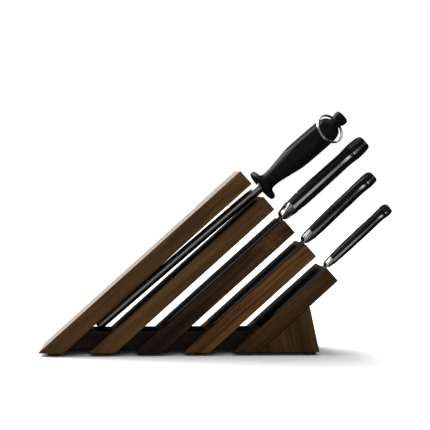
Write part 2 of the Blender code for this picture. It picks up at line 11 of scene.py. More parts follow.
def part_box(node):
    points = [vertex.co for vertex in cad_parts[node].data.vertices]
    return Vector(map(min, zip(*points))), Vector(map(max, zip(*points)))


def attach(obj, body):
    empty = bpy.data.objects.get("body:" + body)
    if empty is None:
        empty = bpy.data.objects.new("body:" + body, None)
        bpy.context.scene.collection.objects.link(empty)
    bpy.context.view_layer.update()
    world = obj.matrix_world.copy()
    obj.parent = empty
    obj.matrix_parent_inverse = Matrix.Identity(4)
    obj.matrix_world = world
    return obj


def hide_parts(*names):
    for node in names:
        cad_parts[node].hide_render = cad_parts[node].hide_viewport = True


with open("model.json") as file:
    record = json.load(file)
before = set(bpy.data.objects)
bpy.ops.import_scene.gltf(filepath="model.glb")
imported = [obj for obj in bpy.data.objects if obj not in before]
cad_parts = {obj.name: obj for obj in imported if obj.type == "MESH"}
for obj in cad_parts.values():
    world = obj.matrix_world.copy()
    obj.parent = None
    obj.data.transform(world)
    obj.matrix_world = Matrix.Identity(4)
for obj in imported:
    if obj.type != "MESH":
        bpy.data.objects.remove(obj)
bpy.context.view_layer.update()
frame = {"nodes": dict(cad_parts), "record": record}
NODES = frame["nodes"]
MM = 0.001

# Directions of the block: along a slat, out of its upper face
SLAT_ANGLE = math.radians(42.1)
STEEL_ANGLE = math.radians(40.85)
ALONG = Vector((math.cos(SLAT_ANGLE), 0.0, math.sin(SLAT_ANGLE)))
NORMAL = Vector((-math.sin(SLAT_ANGLE), 0.0, math.cos(SLAT_ANGLE)))
END_PLANE = 163.69 * MM
FIRST_FACE = 142.45 * MM
SLAT_OFFSETS = (0.0, 40.1 * MM, 76.3 * MM, 113.8 * MM, 152.3 * MM)


# ---------------------------------------------------------------- node helpers

class Tree:
    """Short way to write a shader tree."""

    def __init__(self, tree):
        self.tree = tree
        self.tree.nodes.clear()

    def node(self, kind, inputs=None, **props):
        made = self.tree.nodes.new(kind)
        for key, value in props.items():
            setattr(made, key, value)
        for key, value in (inputs or {}).items():
            if isinstance(value, bpy.types.NodeSocket):
                self.tree.links.new(value, made.inputs[key])
            else:
                made.inputs[key].default_value = value
        return made

    def math(self, operation, first, second=0.0, clamp=False):
        inputs = {0: first, 1: second}
        return self.node("ShaderNodeMath", inputs, operation=operation, use_clamp=clamp).outputs[0]

    def noise(self, vector, scale, detail=3.0, roughness=0.5, distortion=0.0):
        inputs = {"Vector": vector, "Scale": scale, "Detail": detail, "Roughness": roughness,
                  "Distortion": distortion}
        return self.node("ShaderNodeTexNoise", inputs).outputs["Fac"]

    def mapping(self, vector, location=(0, 0, 0), rotation=(0, 0, 0), scale=(1, 1, 1)):
        inputs = {"Vector": vector, "Location": location, "Rotation": rotation, "Scale": scale}
        return self.node("ShaderNodeMapping", inputs).outputs[0]

    def ramp(self, factor, stops, interpolation="LINEAR"):
        made = self.node("ShaderNodeValToRGB", {"Fac": factor})
        made.color_ramp.interpolation = interpolation
        elements = made.color_ramp.elements
        while len(elements) > 1:
            elements.remove(elements[-1])
        elements[0].position = stops[0][0]
        elements[0].color = colour(stops[0][1])
        for place, value in stops[1:]:
            elements.new(place).color = colour(value)
        return made.outputs["Color"]

    def mix(self, factor, first, second, blend="MIX"):
        made = self.node("ShaderNodeMix", data_type="RGBA", blend_type=blend)
        for index, value in ((0, factor), (6, first), (7, second)):
            if isinstance(value, bpy.types.NodeSocket):
                self.tree.links.new(value, made.inputs[index])
            elif index == 0:
                made.inputs[index].default_value = value
            else:
                made.inputs[index].default_value = colour(value)
        return made.outputs[2]

    def bump(self, height, strength, distance):
        inputs = {"Height": height, "Strength": strength, "Distance": distance}
        return self.node("ShaderNodeBump", inputs).outputs[0]

    def range(self, value, low, high, to_low=0.0, to_high=1.0):
        inputs = {"Value": value, "From Min": low, "From Max": high, "To Min": to_low, "To Max": to_high}
        return self.node("ShaderNodeMapRange", inputs).outputs[0]


def colour(value):
    if isinstance(value, (int, float)):
        return (value, value, value, 1.0)
    return (*value, 1.0) if len(value) == 3 else tuple(value)


def shader_tree(name):
    material = bpy.data.materials.new(name)
    material.use_nodes = True
    tree = Tree(material.node_tree)
    coordinates = tree.node("ShaderNodeTexCoord").outputs["Object"]
    return material, tree, coordinates


def close(tree, inputs):
    shader = tree.node("ShaderNodeBsdfPrincipled", inputs)
    output = tree.node("ShaderNodeOutputMaterial")
    tree.tree.links.new(shader.outputs[0], output.inputs[0])


# ---------------------------------------------------------------- materials

CURL_GAIN = 1.35  # how much lighter the curly figure is than the light grain


def walnut(name, dark, mid, light, seed, angle=SLAT_ANGLE, swirl=0.0, lines=0.5, figure=None, slant=0.0,
           specular=0.06, rough=0.46, sheen=0.04):
    """Oiled walnut. The grain runs along `angle` above +X; a 3-D texture, so end faces show end grain."""
    material, tree, position = shader_tree(name)
    grain = tree.mapping(position, rotation=(0.0, angle + slant, 0.0))
    grain = tree.mapping(grain, location=(seed * 0.37, seed * 0.11, seed * 0.23))
    wander = tree.noise(tree.mapping(grain, scale=(7.0, 26.0, 26.0)), 1.0, 2.0)
    wander = tree.math("MULTIPLY", tree.math("SUBTRACT", wander, 0.5), 0.010 + swirl)
    if figure:
        wave = tree.noise(tree.mapping(grain, scale=(60.0, 40.0, 95.0)), 1.0, 3.0, 0.55, 0.8)
        wave = tree.math("MULTIPLY", tree.math("SUBTRACT", wave, 0.5), 0.016)
        wander = tree.math("ADD", wander, tree.math("MULTIPLY", wave, figure_mask(tree, position, figure)))
    parts = tree.node("ShaderNodeSeparateXYZ", {0: grain})
    across = tree.math("ADD", parts.outputs["Z"], wander)
    depth = tree.math("ADD", parts.outputs["Y"], tree.math("MULTIPLY", wander, 0.7))
    flow = tree.node("ShaderNodeCombineXYZ", {"X": parts.outputs["X"], "Y": depth, "Z": across}).outputs[0]
    broad = tree.noise(tree.mapping(flow, scale=(5.0, 60.0, 105.0)), 1.0, 3.0, 0.55)
    streak = tree.noise(tree.mapping(flow, scale=(9.0, 170.0, 330.0)), 1.0, 4.0, 0.6)
    fibre = tree.noise(tree.mapping(flow, scale=(60.0, 1100.0, 1500.0)), 1.0, 3.0, 0.65)
    pores = tree.noise(tree.mapping(flow, scale=(130.0, 1900.0, 2300.0)), 1.0, 2.0, 0.5)
    pores = tree.range(pores, 0.56, 0.68)
    base = tree.ramp(broad, ((0.36, dark), (0.50, mid), (0.64, light)))
    line = tree.range(streak, 0.40, 0.53, 1.0, 0.0)
    base = tree.mix(tree.math("MULTIPLY", line, lines), base, dark)
    glow = tree.range(streak, 0.58, 0.75)
    base = tree.mix(tree.math("MULTIPLY", glow, lines * 0.7), base, light)
    base = tree.mix(0.34, base, tree.ramp(fibre, ((0.25, 0.45), (0.75, 0.62))), "OVERLAY")
    if figure:
        shimmer = tree.noise(tree.mapping(grain, scale=(150.0, 60.0, 60.0)), 1.0, 2.0, 0.5, 1.2)
        mask = tree.math("MULTIPLY", figure_mask(tree, position, figure), tree.range(shimmer, 0.44, 0.58))
        base = tree.mix(tree.math("MULTIPLY", mask, 0.8), base, tuple(c * CURL_GAIN for c in light))
    base = tree.mix(tree.math("MULTIPLY", pores, 0.5), base, tuple(c * 0.35 for c in dark))
    relief = tree.math("SUBTRACT", tree.math("MULTIPLY", fibre, 0.5), pores)
    roughness = tree.math("ADD", tree.math("MULTIPLY", fibre, 0.14), rough - 0.07)
    close(tree, {"Base Color": base, "Roughness": roughness, "Specular IOR Level": specular,
                 "Sheen Weight": sheen, "Sheen Roughness": 0.30, "Sheen Tint": (1.0, 0.90, 0.80, 1.0),
                 "Normal": tree.bump(relief, 0.35, 0.00006)})
    return material


def figure_mask(tree, position, figure):
    """Soft blob of curly grain round a point."""
    centre, reach = figure
    offset = tree.node("ShaderNodeVectorMath", {0: position, 1: centre}, operation="SUBTRACT").outputs[0]
    shrink = tuple(1.0 / size for size in reach)
    turned = tree.mapping(offset, rotation=(0.0, SLAT_ANGLE, 0.0), scale=shrink)
    length = tree.node("ShaderNodeVectorMath", {0: turned}, operation="LENGTH").outputs["Value"]
    ragged = tree.noise(tree.mapping(position, scale=(70.0, 70.0, 70.0)), 1.0, 2.0)
    length = tree.math("ADD", length, tree.math("MULTIPLY", tree.math("SUBTRACT", ragged, 0.5), 0.9))
    return tree.range(length, 1.15, 0.55)


def satin_black(name, base, rough, grain_scale, relief, streak_angle=None, specular=0.5):
    """Moulded black plastic: fine spark texture, slight tone changes, soft handling wear."""
    material, tree, position = shader_tree(name)
    if streak_angle is None:
        fine = tree.noise(position, grain_scale, 3.0, 0.6)
    else:
        turned = tree.mapping(position, rotation=(0.0, streak_angle, 0.0))
        fine = tree.noise(tree.mapping(turned, scale=(0.06, 1.0, 1.0)), grain_scale, 3.0, 0.6)
    cloud = tree.noise(position, 38.0, 3.0, 0.5)
    shade = tree.ramp(cloud, ((0.3, tuple(c * 0.8 for c in base)), (0.7, tuple(c * 1.25 for c in base))))
    shade = tree.mix(tree.range(fine, 0.45, 0.8, 0.0, 0.35), shade, tuple(min(1.0, c * 2.2) for c in base))
    smudge = tree.noise(position, 95.0, 2.0, 0.6)
    roughness = tree.math("ADD", tree.range(smudge, 0.3, 0.7, -0.05, 0.06), rough)
    close(tree, {"Base Color": shade, "Roughness": roughness, "Specular IOR Level": specular,
                 "Normal": tree.bump(fine, 0.25, relief)})
    return material


def steel(name, base, rough, direction, scratch=0.25, lengthwise=False):
    """Ground and polished steel. Fine lines run across `direction`, or along it if `lengthwise`."""
    material, tree, position = shader_tree(name)
    turned = tree.mapping(position, rotation=(0.0, direction, 0.0))
    stretch = (45.0, 1800.0, 1800.0) if lengthwise else (1800.0, 45.0, 45.0)
    lines = tree.noise(tree.mapping(turned, scale=stretch), 1.0, 3.0, 0.6)
    cloud = tree.noise(position, 60.0, 3.0, 0.5)
    dull, bright = tuple(c * 0.93 for c in base), tuple(min(1.0, c * 1.06) for c in base)
    shade = tree.ramp(cloud, ((0.3, dull), (0.7, bright)))
    shade = tree.mix(tree.range(lines, 0.3, 0.7, 0.0, 0.18), shade, tuple(c * 0.7 for c in base))
    roughness = tree.math("ADD", tree.range(lines, 0.3, 0.7, -0.03, 0.05), rough)
    roughness = tree.math("ADD", roughness, tree.range(cloud, 0.35, 0.7, -0.02, 0.03))
    close(tree, {"Base Color": shade, "Metallic": 1.0, "Roughness": roughness,
                 "Normal": tree.bump(lines, scratch, 0.00003)})
    return material


def rubber(name):
    material, tree, position = shader_tree(name)
    fine = tree.noise(position, 2600.0, 3.0, 0.6)
    dust = tree.noise(position, 240.0, 4.0, 0.6)
    shade = tree.mix(tree.range(dust, 0.45, 0.75, 0.0, 0.4), (0.012, 0.012, 0.012), (0.030, 0.030, 0.031))
    roughness = tree.range(fine, 0.3, 0.7, 0.68, 0.85)
    close(tree, {"Base Color": shade, "Roughness": roughness, "Specular IOR Level": 0.35,
                 "Normal": tree.bump(fine, 0.3, 0.0001)})
    return material


def ferrite(name):
    material, tree, position = shader_tree(name)
    fine = tree.noise(position, 900.0, 4.0, 0.65)
    shade = tree.ramp(fine, ((0.3, (0.10, 0.10, 0.105)), (0.7, (0.17, 0.17, 0.175))))
    close(tree, {"Base Color": shade, "Metallic": 0.4, "Roughness": tree.range(fine, 0.3, 0.7, 0.5, 0.7),
                 "Normal": tree.bump(fine, 0.3, 0.0001)})
    return material


def floor_material():
    material, tree, position = shader_tree("floor_paper")
    fibre = tree.noise(position, 420.0, 3.0, 0.6)
    shade = tree.ramp(fibre, ((0.3, 0.86), (0.7, 0.89)))
    close(tree, {"Base Color": shade, "Roughness": 0.9, "Specular IOR Level": 0.1,
                 "Normal": tree.bump(fibre, 0.05, 0.0002)})
    return material


SLAT_3_FIGURE = (tuple(ALONG * (END_PLANE - 30.0 * MM) + NORMAL * (FIRST_FACE - SLAT_OFFSETS[2] - 9.0 * MM)
                       + Vector((0.0, -30.0 * MM, 0.0))), (34.0 * MM, 30.0 * MM, 13.0 * MM))
MATERIALS = {
    "walnut_1": walnut(
        "walnut_slat_1", (0.0380, 0.0181, 0.0055), (0.0668, 0.0313, 0.0092), (0.0998, 0.0493, 0.0154),
        seed=1.0, swirl=0.006, lines=0.35, sheen=0.95),
    "walnut_2": walnut(
        "walnut_slat_2", (0.0354, 0.0162, 0.0044), (0.0614, 0.0282, 0.0078), (0.0913, 0.0446, 0.0132),
        seed=4.3, lines=0.40),
    "walnut_3": walnut(
        "walnut_slat_3", (0.0095, 0.0040, 0.0012), (0.0237, 0.0103, 0.0028), (0.0477, 0.0222, 0.0062),
        seed=7.9, swirl=0.004, lines=0.45, figure=SLAT_3_FIGURE),
    "walnut_4": walnut(
        "walnut_slat_4", (0.0322, 0.0117, 0.0024), (0.0802, 0.0312, 0.0067), (0.1207, 0.0519, 0.0123),
        seed=11.7, lines=0.75),
    "walnut_5": walnut(
        "walnut_slat_5", (0.0199, 0.0093, 0.0026), (0.0381, 0.0168, 0.0044), (0.0554, 0.0269, 0.0077),
        seed=15.1, lines=0.55),
    "walnut_rail": walnut(
        "walnut_base_rail", (0.0078, 0.0037, 0.0012), (0.0168, 0.0078, 0.0023), (0.0278, 0.0135, 0.0041),
        seed=19.3, angle=0.0, lines=0.4),
    "walnut_wedge": walnut(
        "walnut_support_wedge", (0.0268, 0.0138, 0.0038), (0.0544, 0.0278, 0.0077), (0.0948, 0.0516, 0.0148),
        seed=23.9, angle=math.radians(103.8), lines=0.6),
    "cover_black": satin_black("rail_cover_black", (0.006, 0.0065, 0.007), 0.42, 1500.0, 0.000004,
                               specular=0.15),
    "strip_black": satin_black("strip_black_satin", (0.0035, 0.0035, 0.0038), 0.42, 1300.0, 0.000004,
                               streak_angle=SLAT_ANGLE, specular=0.06),
    "magnet": ferrite("magnet_ferrite"),
    "rubber": rubber("foot_rubber"),
    "screw_steel": steel("screw_zinc_steel", (0.42, 0.42, 0.43), 0.32, 0.0),
    # Blade steel: the ground lines and roughness are real; its base colour, darkened well below the tang's,
    # is painted shade.
    "blade_steel": steel("blade_ground_steel_painted_shade", (0.34, 0.335, 0.33), 0.26, SLAT_ANGLE, scratch=0.02),
    "tang_steel": steel("tang_polished_steel", (0.72, 0.70, 0.67), 0.27, SLAT_ANGLE, scratch=0.02,
                        lengthwise=True),
    "handle_black": satin_black("scale_black_satin", (0.0036, 0.0036, 0.0039), 0.30, 1700.0, 0.000002,
                                specular=0.06),
    # Near-black copy of the blade steel on the front-facing spine: painted shade, the real spine is the same
    # steel as its flanks.
    "spine_steel": steel("spine_steel_painted_shade", (0.075, 0.070, 0.066), 0.34, SLAT_ANGLE, scratch=0.02,
                         lengthwise=True),
    # Darker copy of the tang steel on the bolster: painted shade that holds down its highlight; the real
    # bolster is the same steel as the tang.
    "bolster_steel": steel("bolster_steel_painted_shade", (0.38, 0.37, 0.355), 0.24, SLAT_ANGLE, scratch=0.02,
                           lengthwise=True),
    "rivet_steel": steel("rivet_polished_steel", (0.62, 0.62, 0.63), 0.2, SLAT_ANGLE, scratch=0.02),
    "rod_steel": steel("rod_ribbed_steel", (0.26, 0.26, 0.265), 0.34, STEEL_ANGLE, scratch=0.02,
                       lengthwise=True),
    "grip_black": satin_black("grip_black_satin", (0.0040, 0.0040, 0.0043), 0.34, 1500.0, 0.000002,
                              specular=0.06),
    "ring_steel": steel("ring_bright_steel", (0.86, 0.84, 0.81), 0.26, STEEL_ANGLE, scratch=0.02),
}


# ---------------------------------------------------------------- mesh helpers

def axes_matrix(origin, first, second, third):
    matrix = Matrix.Identity(4)
    for column, axis in enumerate((first, second, third)):
        for row in range(3):
            matrix[row][column] = axis[row]
    matrix.translation = origin
    return matrix


def slat_matrix(index):
    origin = ALONG * END_PLANE + NORMAL * (FIRST_FACE - SLAT_OFFSETS[index])
    return axes_matrix(origin, ALONG, Vector((0.0, 1.0, 0.0)), NORMAL)


def smooth_stations(stations, steps):
    """Catmull-Rom curve through tuples of numbers."""
    result = []
    count = len(stations)
    for index in range(count - 1):
        before = stations[max(index - 1, 0)]
        start, stop = stations[index], stations[index + 1]
        after = stations[min(index + 2, count - 1)]
        for step in range(steps):
            t = step / steps
            point = []
            for a, b, c, d in zip(before, start, stop, after):
                point.append(0.5 * (2 * b + (c - a) * t + (2 * a - 5 * b + 4 * c - d) * t * t
                                    + (3 * b - a - 3 * c + d) * t * t * t))
            result.append(tuple(point))
    result.append(tuple(float(value) for value in stations[-1]))
    return result


def loft(rings, closed=False):
    data = bmesh.new()
    layers = [[data.verts.new(point) for point in ring] for ring in rings]
    count = len(layers[0])
    pairs = list(zip(layers, layers[1:]))
    if closed:
        pairs.append((layers[-1], layers[0]))
    for lower, upper in pairs:
        for index in range(count):
            after = (index + 1) % count
            data.faces.new((lower[index], lower[after], upper[after], upper[index]))
    if not closed:
        data.faces.new(layers[0])
        data.faces.new(layers[-1])
    return data


def lathe(profile, matrix, segments, closed=False):
    data = bmesh.new()
    layers = []
    for radius, height in profile:
        if radius < 0.001:
            layers.append([data.verts.new(matrix @ Vector((0.0, 0.0, height * MM)))])
            continue
        ring = []
        for index in range(segments):
            angle = 2.0 * math.pi * index / segments
            point = Vector((radius * math.cos(angle), radius * math.sin(angle), height)) * MM
            ring.append(data.verts.new(matrix @ point))
        layers.append(ring)
    pairs = list(zip(layers, layers[1:]))
    if closed:
        pairs.append((layers[-1], layers[0]))
    for lower, upper in pairs:
        for index in range(segments):
            after = (index + 1) % segments
            if len(lower) == 1:
                data.faces.new((lower[0], upper[after], upper[index]))
            elif len(upper) == 1:
                data.faces.new((lower[index], lower[after], upper[0]))
            else:
                data.faces.new((lower[index], lower[after], upper[after], upper[index]))
    return data


def piece(name, data, slot, body, replaced=(), sharp=35.0, material=None):
    """Turn a bmesh into a shown piece that rides on a body."""
    bmesh.ops.recalc_face_normals(data, faces=data.faces)
    mesh = bpy.data.meshes.new(name)
    data.to_mesh(mesh)
    data.free()
    for polygon in mesh.polygons:
        polygon.use_smooth = True
    mesh.set_sharp_from_angle(angle=math.radians(sharp))
    item = bpy.data.objects.new(name, mesh)
    bpy.context.scene.collection.objects.link(item)
    mesh.materials.append(MATERIALS[material or slot])
    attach(item, body)
    if replaced:
        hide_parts(*replaced)
    return item


def subtract(item, cutter_data):
    """Cut a hole through a piece and keep the result as its mesh."""
    bmesh.ops.recalc_face_normals(cutter_data, faces=cutter_data.faces)
    mesh = bpy.data.meshes.new("cutter")
    cutter_data.to_mesh(mesh)
    cutter_data.free()
    cutter = bpy.data.objects.new("cutter", mesh)
    bpy.context.scene.collection.objects.link(cutter)
    modifier = item.modifiers.new("cut", "BOOLEAN")
    modifier.operation = "DIFFERENCE"
    modifier.solver = "EXACT"
    modifier.object = cutter
    bpy.context.view_layer.update()
    evaluated = item.evaluated_get(bpy.context.evaluated_depsgraph_get())
    result = bpy.data.meshes.new_from_object(evaluated)
    item.modifiers.clear()
    item.data = result
    bpy.data.objects.remove(cutter)


# ---------------------------------------------------------------- block: better finishes on the CAD nodes

def dress_block():
    for entry in frame["record"]["subparts"]:
        material = MATERIALS.get(entry["material_slot"])
        node = NODES[entry["node"]]
        node.data.materials.clear()
        node.data.materials.append(material)


dress_block()


# ---------------------------------------------------------------- feet and screws

def centre_of(node):
    low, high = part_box(node)
    return (low + high) / 2.0


FOOT_PROFILE = ((2.0, 3.7), (2.0, 1.9), (3.5, 1.9), (3.7, 1.7), (3.7, 0.25), (3.95, 0.0), (6.0, 0.0),
                (6.4, 0.12), (6.8, 0.45), (7.0, 0.8), (7.55, 2.6), (7.8, 3.3), (7.85, 3.55), (7.6, 3.7))


def hex_ring(radius, segments, height, matrix):
    points = []
    for index in range(segments):
        angle = 2.0 * math.pi * index / segments
        within = (angle % (math.pi / 3.0)) - math.pi / 6.0
        reach = radius * math.cos(math.pi / 6.0) / math.cos(within)
        points.append(matrix @ (Vector((reach * math.cos(angle), reach * math.sin(angle), height)) * MM))
    return points


def round_ring(radius, segments, height, matrix):
    points = []
    for index in range(segments):
        angle = 2.0 * math.pi * index / segments
        points.append(matrix @ (Vector((radius * math.cos(angle), radius * math.sin(angle), height)) * MM))
    return points


def screw(name, node, head, shank, socket):
    """Countersunk or pan screw with a hexagon socket, point up, with thread rings on the shank."""
    middle = centre_of(node)
    matrix = Matrix.Translation((middle.x, middle.y, 0.0))
    count = 36
    rings = [hex_ring(socket[0], count, socket[1], matrix),
             hex_ring(socket[0], count, head[0][1] + 0.15, matrix),
             hex_ring(socket[0] * 1.12, count, head[0][1], matrix)]
    rings += [round_ring(radius, count, height, matrix) for radius, height in head]
    bottom, top, radius = shank
    height = bottom
    while height < top - 2.5:
        rings.append(round_ring(radius, count, height, matrix))
        rings.append(round_ring(radius * 0.8, count, height + 0.55, matrix))
        height += 1.1
    rings.append(round_ring(radius * 0.6, count, top - 1.2, matrix))
    rings.append(round_ring(0.15, count, top, matrix))
    piece(name, loft(rings), "screw_steel", "block", (node,), sharp=28.0)


def build_fasteners():
    for number in range(1, 5):
        node = f"foot_{number}"
        middle = centre_of(node)
        matrix = Matrix.Translation((middle.x, middle.y, 0.0))
        foot = lathe(FOOT_PROFILE, matrix, 56, closed=True)
        piece(f"rubber_foot_{number}", foot, "rubber", "block", (node,), 40.0)
        screw(f"foot_fixing_{number}", f"foot_screw_{number}",
              ((2.6, 0.42), (3.0, 0.55), (3.25, 0.85), (3.25, 1.5), (3.1, 1.62), (1.6, 1.62)),
              (1.9, 16.0, 1.58), (1.0, 1.0))
    for number in range(1, 7):
        screw(f"rail_fixing_{number}", f"rail_screw_{number}",
              ((3.5, 4.92), (3.75, 5.1), (3.75, 5.3), (1.8, 7.4)), (8.0, 36.4, 1.78), (1.25, 6.3))


build_fasteners()


# ---------------------------------------------------------------- knives

LEVELS = {
    "blade": ((0.0, 0.80), (0.010, 0.95), (0.03, 1.0), (0.12, 0.95), (0.25, 0.87), (0.40, 0.74), (0.55, 0.59),
              (0.70, 0.43), (0.84, 0.28), (0.95, 0.16), (0.985, 0.12), (1.0, 0.06)),
    "tang": ((0.0, 0.92), (0.005, 0.97), (0.012, 1.0), (0.12, 1.0), (0.25, 1.0), (0.40, 1.0), (0.55, 1.0),
             (0.70, 1.0), (0.84, 1.0), (0.984, 1.0), (0.994, 0.97), (1.0, 0.92)),
}
BOLSTER_SHARES = (0.0, 0.015, 0.045, 0.09, 0.16, 0.26, 0.38, 0.52, 0.72, 0.90, 0.97, 1.0)
NOSE_DEPTH = (11.0, 3.6)
KNIVES = {
    "carving_knife": {
        "slat": 2,
        "blade": ((-186, -21.0, -20.2, 0.25), (-183, -22.4, -19.0, 0.45), (-176, -24.0, -16.6, 0.65),
                  (-165, -25.0, -13.8, 0.8), (-150, -25.5, -10.8, 0.95), (-130, -25.6, -7.8, 1.05),
                  (-105, -25.6, -5.2, 1.15), (-75, -25.6, -3.2, 1.22), (-45, -25.5, -1.8, 1.28),
                  (-20, -25.3, -0.9, 1.33), (-4.5, -25.0, -0.5, 1.35), (-3.6, -25.0, -1.2, 1.35)),
        "heel": ((-2.6, -24.9, -3.0, 1.35), (0.5, -24.4, -3.0, 1.35)),
        "bolster": ((0.9, -24.3, -2.8, 2.2), (1.8, -24.1, -2.2, 4.0), (3.0, -23.8, -1.4, 5.2),
                    (5.0, -23.3, -0.6, 5.95), (8.0, -22.7, 0.2, 6.5), (11.0, -22.1, 0.8, 6.98),
                    (14.0, -21.6, 1.1, 7.4), (17.0, -21.2, 1.2, 7.7), (19.5, -20.9, 1.2, 8.0)),
        "handle": ((19.5, -20.9, 1.2, 8.0), (24, -20.7, 1.5, 8.45), (30, -20.5, 2.1, 8.85),
                   (40, -20.2, 3.2, 9.15), (50, -20.0, 4.0, 9.3), (60, -19.8, 4.4, 9.4),
                   (70, -19.6, 4.0, 9.3), (80, -19.2, 3.2, 9.25), (90, -18.7, 2.6, 9.2),
                   (98, -18.2, 2.4, 9.15), (104, -18.3, 2.8, 9.2), (108.5, -19.2, 3.6, 9.4),
                   (111.5, -20.6, 4.4, 9.6), (113.6, -22.0, 5.0, 9.75), (114.8, -22.4, 5.3, 9.82),
                   (118, -22.3, 6.0, 9.98), (122, -22.0, 6.4, 9.95), (127, -21.3, 6.2, 9.75),
                   (131, -20.2, 5.2, 9.4), (133.6, -18.6, 3.6, 8.9), (135.3, -16.2, 1.2, 8.0),
                   (136.3, -12.5, -2.5, 6.2), (136.8, -9.5, -5.5, 3.4)),
        "rivets": (36.0, 66.0, 96.0),
        "rivet_radius": 3.0,
        "tang": 1.6,
    },
    "utility_knife": {
        "slat": 3,
        "blade": ((-148, -23.6, -22.9, 0.25), (-145, -24.8, -22.0, 0.4), (-138, -26.1, -20.4, 0.55),
                  (-125, -26.8, -18.3, 0.7), (-108, -27.1, -16.3, 0.85), (-85, -27.2, -14.3, 0.95),
                  (-60, -27.2, -12.7, 1.05), (-35, -27.2, -11.6, 1.15), (-15, -27.2, -11.1, 1.2),
                  (-4, -27.2, -10.9, 1.25), (-3.2, -27.2, -11.4, 1.25)),
        "heel": ((-2.2, -27.2, -12.4, 1.25), (0.5, -27.1, -12.4, 1.25)),
        "bolster": ((0.9, -27.1, -12.2, 2.0), (1.8, -27.0, -11.6, 3.7), (3.0, -26.9, -10.9, 4.75),
                    (5.0, -26.8, -10.1, 5.35), (8.0, -26.6, -9.3, 5.7), (11.0, -26.4, -8.8, 6.0),
                    (15.5, -25.9, -8.4, 6.45)),
        "handle": ((15.5, -25.9, -8.4, 6.45), (20, -25.4, -7.6, 6.8), (26, -24.7, -6.2, 7.1),
                   (35, -23.6, -4.4, 7.3), (45, -22.4, -2.4, 7.3), (58, -20.8, -0.4, 7.25),
                   (70, -18.9, 1.0, 7.25), (80, -17.2, 2.0, 7.25), (88, -16.0, 3.0, 7.3),
                   (94, -15.5, 3.8, 7.4), (98.5, -16.0, 4.4, 7.5), (101.5, -17.2, 5.0, 7.55),
                   (103.6, -18.6, 5.4, 7.6), (104.8, -18.9, 5.6, 7.62), (108, -18.7, 6.2, 7.6),
                   (112, -17.9, 6.2, 7.35), (114.6, -16.6, 5.2, 7.1), (116.3, -14.5, 3.2, 6.4),
                   (117.3, -11.5, 0.0, 4.8), (117.8, -8.5, -3.0, 3.0)),
        "rivets": (31.0, 58.0, 85.0),
        "rivet_radius": 2.6,
        "tang": 1.4,
    },
    "paring_knife": {
        "slat": 4,
        "blade": ((-86, -26.6, -26.0, 0.2), (-84, -27.6, -25.2, 0.3), (-78, -28.8, -23.2, 0.45),
                  (-68, -29.4, -20.8, 0.6), (-54, -29.6, -18.2, 0.75), (-38, -29.6, -16.0, 0.85),
                  (-20, -29.6, -14.4, 0.9), (-8, -29.6, -13.6, 0.95), (-3.6, -29.6, -13.4, 0.95),
                  (-2.9, -29.6, -14.0, 0.95)),
        "heel": ((-2.0, -29.6, -15.5, 0.95), (0.5, -29.6, -15.5, 0.95)),
        "bolster": ((0.9, -29.6, -15.3, 1.7), (1.8, -29.6, -15.1, 2.9), (3.0, -29.6, -14.9, 3.6),
                    (5.0, -29.5, -14.8, 4.0), (8.0, -29.4, -14.6, 4.35), (12.1, -29.2, -14.3, 4.8)),
        "handle": ((12.1, -29.2, -14.3, 4.8), (16, -28.9, -13.2, 5.1), (24, -28.4, -11.8, 5.5),
                   (36, -28.0, -10.4, 5.8), (50, -27.5, -9.4, 5.9), (62, -26.8, -9.0, 6.0),
                   (74, -25.6, -8.8, 6.0), (82, -24.7, -8.4, 5.95), (87, -24.6, -7.8, 6.0),
                   (90.5, -25.4, -7.2, 6.1), (92.8, -26.8, -6.6, 6.25), (94.3, -28.0, -6.4, 6.3),
                   (95.4, -28.2, -6.3, 6.35), (98, -27.9, -6.2, 6.35), (101, -26.9, -6.8, 6.15),
                   (102.8, -25.2, -8.2, 5.7), (103.75, -22.8, -10.4, 4.9), (104.33, -19.6, -13.6, 3.2)),
        "rivets": (26.0, 49.0, 72.0),
        "rivet_radius": 2.2,
        "tang": 1.15,
    },
}
REST_GAP = 0.35


def section_ring(matrix, station, levels, centre):
    along, spine, edge, half = station
    side = [(spine + (edge - spine) * share, half * width) for share, width in levels]
    points = [(along, y, centre + b) for y, b in side]
    points += [(along, y, centre - b) for y, b in reversed(side)]
    return [matrix @ (Vector(point) * MM) for point in points]


def bolster_levels(station, stations):
    """Section of the bolster: a round nose at the spine that grows blunter towards the handle."""
    along, spine, belly, _ = station
    run = (along - stations[0][0]) / (stations[-1][0] - stations[0][0])
    depth = NOSE_DEPTH[0] + (NOSE_DEPTH[1] - NOSE_DEPTH[0]) * run
    flat = 0.16 + 0.16 * run
    levels = []
    for share in BOLSTER_SHARES:
        distance = share * (belly - spine)
        back = (1.0 - share) * (belly - spine)
        nose = flat + (1.0 - flat) * math.sqrt(1.0 - (1.0 - min(1.0, distance / depth)) ** 2)
        heel = 0.45 + 0.55 * math.sqrt(1.0 - (1.0 - min(1.0, back / 3.0)) ** 2)
        levels.append((share, min(nose, heel)))
    return levels


def tang_half(along, spec):
    """The tang is a little thicker where it leaves the bolster."""
    return spec["tang"] + 0.6 * math.exp(-max(0.0, along - spec["handle"][0][0]) / 7.0)


def scale_ring(matrix, station, spec, centre, sign):
    along, spine, belly, half = station
    inner = tang_half(along, spec) + 0.06
    middle, reach = (spine + belly) / 2.0, (belly - spine) / 2.0
    points = []
    count = 26
    for index in range(count + 1):
        angle = math.pi * index / count
        share = math.copysign(abs(math.cos(angle)) ** 0.8, math.cos(angle))
        bulge = math.sin(angle) ** 0.7 if 0 < index < count else 0.0
        points.append((along, middle - reach * share, centre + sign * (inner + (half - inner) * bulge)))
    return [matrix @ (Vector(point) * MM) for point in points]


def station_at(stations, along):
    for before, after in zip(stations, stations[1:]):
        if before[0] <= along <= after[0]:
            share = (along - before[0]) / (after[0] - before[0])
            return [start + (stop - start) * share for start, stop in zip(before, after)]
    return list(stations[-1])


